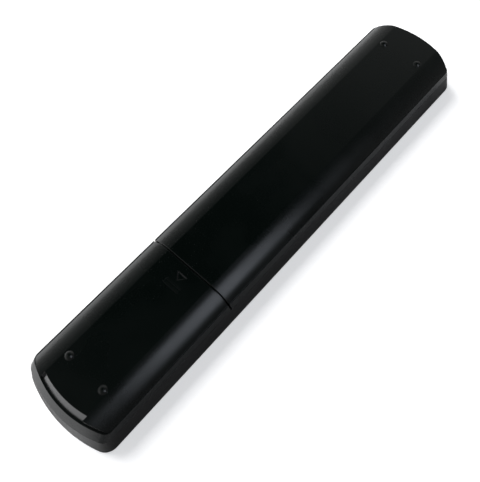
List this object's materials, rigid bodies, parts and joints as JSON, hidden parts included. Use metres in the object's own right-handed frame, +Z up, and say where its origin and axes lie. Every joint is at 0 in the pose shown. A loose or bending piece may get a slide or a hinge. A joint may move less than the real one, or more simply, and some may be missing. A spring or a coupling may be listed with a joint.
{
  "type": "universal remote control",
  "caption": "Long slim universal remote control with a keypad face, a faceted back cover and a sliding battery door.",
  "frame": {"origin": "middle of the surface that it lies on, face down", "axes": "+X across the width, +Y along the length to the end with the infrared window, +Z up through the back"},
  "size_m": [0.048, 0.2396, 0.0192],
  "materials": {
    "back_plastic": "satin, fine grain",
    "front_plastic": "satin, fine grain",
    "face_plastic": "satin",
    "key_rubber": "matt",
    "red_key_plastic": "satin",
    "green_key_plastic": "satin",
    "yellow_key_plastic": "satin",
    "blue_key_plastic": "satin",
    "membrane_rubber": "matt",
    "carbon_rubber": "matt",
    "board_laminate": "green solder resist",
    "chip_plastic": "matt",
    "resonator_ceramic": "dipped coating",
    "capacitor_sleeve": "heat-shrunk sleeve",
    "lamp_resin": "clear cast resin",
    "window_plastic": "dark red, polished",
    "indicator_resin": "red cast resin",
    "battery_can": "printed wrapper",
    "contact_steel": "nickel plated",
    "screw_steel": "zinc plated"
  },
  "bodies": {
    "case": {"front_shell": "front_plastic", "face_plate": "face_plastic", "back_shell": "back_plastic", "keypad_membrane": "membrane_rubber", "carbon_pills": "carbon_rubber", "circuit_board": "board_laminate", "microcontroller": "chip_plastic", "resonator": "resonator_ceramic", "capacitor": "capacitor_sleeve", "transistor": "chip_plastic", "chip_resistors": "chip_plastic", "infrared_lamp": "lamp_resin", "infrared_window": "window_plastic", "indicator_lamp": "indicator_resin", "left_battery": "battery_can", "right_battery": "battery_can", "contact_springs": "contact_steel", "negative_contact": "contact_steel", "positive_contact": "contact_steel", "link_contact": "contact_steel", "case_screws": "screw_steel"},
    "battery_door": {"battery_door": "back_plastic"},
    "power_key": {"power_key": "key_rubber"},
    "source_key": {"source_key": "key_rubber"},
    "digit_0_key": {"digit_0_key": "key_rubber"},
    "digit_1_key": {"digit_1_key": "key_rubber"},
    "digit_2_key": {"digit_2_key": "key_rubber"},
    "digit_3_key": {"digit_3_key": "key_rubber"},
    "digit_4_key": {"digit_4_key": "key_rubber"},
    "digit_5_key": {"digit_5_key": "key_rubber"},
    "digit_6_key": {"digit_6_key": "key_rubber"},
    "digit_7_key": {"digit_7_key": "key_rubber"},
    "digit_8_key": {"digit_8_key": "key_rubber"},
    "digit_9_key": {"digit_9_key": "key_rubber"},
    "dash_key": {"dash_key": "key_rubber"},
    "recall_key": {"recall_key": "key_rubber"},
    "volume_up_key": {"volume_up_key": "key_rubber"},
    "volume_down_key": {"volume_down_key": "key_rubber"},
    "mute_key": {"mute_key": "key_rubber"},
    "channel_up_key": {"channel_up_key": "key_rubber"},
    "channel_down_key": {"channel_down_key": "key_rubber"},
    "menu_key": {"menu_key": "key_rubber"},
    "guide_key": {"guide_key": "key_rubber"},
    "back_key": {"back_key": "key_rubber"},
    "exit_key": {"exit_key": "key_rubber"},
    "up_key": {"up_key": "key_rubber"},
    "left_key": {"left_key": "key_rubber"},
    "down_key": {"down_key": "key_rubber"},
    "right_key": {"right_key": "key_rubber"},
    "select_key": {"select_key": "key_rubber"},
    "red_key": {"red_key": "red_key_plastic"},
    "green_key": {"green_key": "green_key_plastic"},
    "yellow_key": {"yellow_key": "yellow_key_plastic"},
    "blue_key": {"blue_key": "blue_key_plastic"},
    "rewind_key": {"rewind_key": "key_rubber"},
    "play_key": {"play_key": "key_rubber"},
    "forward_key": {"forward_key": "key_rubber"}
  },
  "joints": [
    {"name": "battery_door_slide", "type": "slide", "parent": "case", "child": "battery_door", "axis": [0, -1, 0], "range_m": [0, 0.08]},
    {"name": "power_key_press", "type": "slide", "parent": "case", "child": "power_key", "axis": [0, 0, 1], "range_m": [0, 0.0008], "stiffness_N_per_m": 1500},
    {"name": "source_key_press", "type": "slide", "parent": "case", "child": "source_key", "axis": [0, 0, 1], "range_m": [0, 0.0008], "stiffness_N_per_m": 1500},
    {"name": "digit_0_key_press", "type": "slide", "parent": "case", "child": "digit_0_key", "axis": [0, 0, 1], "range_m": [0, 0.0008], "stiffness_N_per_m": 1500},
    {"name": "digit_1_key_press", "type": "slide", "parent": "case", "child": "digit_1_key", "axis": [0, 0, 1], "range_m": [0, 0.0008], "stiffness_N_per_m": 1500},
    {"name": "digit_2_key_press", "type": "slide", "parent": "case", "child": "digit_2_key", "axis": [0, 0, 1], "range_m": [0, 0.0008], "stiffness_N_per_m": 1500},
    {"name": "digit_3_key_press", "type": "slide", "parent": "case", "child": "digit_3_key", "axis": [0, 0, 1], "range_m": [0, 0.0008], "stiffness_N_per_m": 1500},
    {"name": "digit_4_key_press", "type": "slide", "parent": "case", "child": "digit_4_key", "axis": [0, 0, 1], "range_m": [0, 0.0008], "stiffness_N_per_m": 1500},
    {"name": "digit_5_key_press", "type": "slide", "parent": "case", "child": "digit_5_key", "axis": [0, 0, 1], "range_m": [0, 0.0008], "stiffness_N_per_m": 1500},
    {"name": "digit_6_key_press", "type": "slide", "parent": "case", "child": "digit_6_key", "axis": [0, 0, 1], "range_m": [0, 0.0008], "stiffness_N_per_m": 1500},
    {"name": "digit_7_key_press", "type": "slide", "parent": "case", "child": "digit_7_key", "axis": [0, 0, 1], "range_m": [0, 0.0008], "stiffness_N_per_m": 1500},
    {"name": "digit_8_key_press", "type": "slide", "parent": "case", "child": "digit_8_key", "axis": [0, 0, 1], "range_m": [0, 0.0008], "stiffness_N_per_m": 1500},
    {"name": "digit_9_key_press", "type": "slide", "parent": "case", "child": "digit_9_key", "axis": [0, 0, 1], "range_m": [0, 0.0008], "stiffness_N_per_m": 1500},
    {"name": "dash_key_press", "type": "slide", "parent": "case", "child": "dash_key", "axis": [0, 0, 1], "range_m": [0, 0.0008], "stiffness_N_per_m": 1500},
    {"name": "recall_key_press", "type": "slide", "parent": "case", "child": "recall_key", "axis": [0, 0, 1], "range_m": [0, 0.0008], "stiffness_N_per_m": 1500},
    {"name": "volume_up_key_press", "type": "slide", "parent": "case", "child": "volume_up_key", "axis": [0, 0, 1], "range_m": [0, 0.0008], "stiffness_N_per_m": 1500},
    {"name": "volume_down_key_press", "type": "slide", "parent": "case", "child": "volume_down_key", "axis": [0, 0, 1], "range_m": [0, 0.0008], "stiffness_N_per_m": 1500},
    {"name": "mute_key_press", "type": "slide", "parent": "case", "child": "mute_key", "axis": [0, 0, 1], "range_m": [0, 0.0008], "stiffness_N_per_m": 1500},
    {"name": "channel_up_key_press", "type": "slide", "parent": "case", "child": "channel_up_key", "axis": [0, 0, 1], "range_m": [0, 0.0008], "stiffness_N_per_m": 1500},
    {"name": "channel_down_key_press", "type": "slide", "parent": "case", "child": "channel_down_key", "axis": [0, 0, 1], "range_m": [0, 0.0008], "stiffness_N_per_m": 1500},
    {"name": "menu_key_press", "type": "slide", "parent": "case", "child": "menu_key", "axis": [0, 0, 1], "range_m": [0, 0.0008], "stiffness_N_per_m": 1500},
    {"name": "guide_key_press", "type": "slide", "parent": "case", "child": "guide_key", "axis": [0, 0, 1], "range_m": [0, 0.0008], "stiffness_N_per_m": 1500},
    {"name": "back_key_press", "type": "slide", "parent": "case", "child": "back_key", "axis": [0, 0, 1], "range_m": [0, 0.0008], "stiffness_N_per_m": 1500},
    {"name": "exit_key_press", "type": "slide", "parent": "case", "child": "exit_key", "axis": [0, 0, 1], "range_m": [0, 0.0008], "stiffness_N_per_m": 1500},
    {"name": "up_key_press", "type": "slide", "parent": "case", "child": "up_key", "axis": [0, 0, 1], "range_m": [0, 0.0008], "stiffness_N_per_m": 1500},
    {"name": "left_key_press", "type": "slide", "parent": "case", "child": "left_key", "axis": [0, 0, 1], "range_m": [0, 0.0008], "stiffness_N_per_m": 1500},
    {"name": "down_key_press", "type": "slide", "parent": "case", "child": "down_key", "axis": [0, 0, 1], "range_m": [0, 0.0008], "stiffness_N_per_m": 1500},
    {"name": "right_key_press", "type": "slide", "parent": "case", "child": "right_key", "axis": [0, 0, 1], "range_m": [0, 0.0008], "stiffness_N_per_m": 1500},
    {"name": "select_key_press", "type": "slide", "parent": "case", "child": "select_key", "axis": [0, 0, 1], "range_m": [0, 0.0008], "stiffness_N_per_m": 1500},
    {"name": "red_key_press", "type": "slide", "parent": "case", "child": "red_key", "axis": [0, 0, 1], "range_m": [0, 0.0008], "stiffness_N_per_m": 1500},
    {"name": "green_key_press", "type": "slide", "parent": "case", "child": "green_key", "axis": [0, 0, 1], "range_m": [0, 0.0008], "stiffness_N_per_m": 1500},
    {"name": "yellow_key_press", "type": "slide", "parent": "case", "child": "yellow_key", "axis": [0, 0, 1], "range_m": [0, 0.0008], "stiffness_N_per_m": 1500},
    {"name": "blue_key_press", "type": "slide", "parent": "case", "child": "blue_key", "axis": [0, 0, 1], "range_m": [0, 0.0008], "stiffness_N_per_m": 1500},
    {"name": "rewind_key_press", "type": "slide", "parent": "case", "child": "rewind_key", "axis": [0, 0, 1], "range_m": [0, 0.0008], "stiffness_N_per_m": 1500},
    {"name": "play_key_press", "type": "slide", "parent": "case", "child": "play_key", "axis": [0, 0, 1], "range_m": [0, 0.0008], "stiffness_N_per_m": 1500},
    {"name": "forward_key_press", "type": "slide", "parent": "case", "child": "forward_key", "axis": [0, 0, 1], "range_m": [0, 0.0008], "stiffness_N_per_m": 1500}
  ]
}
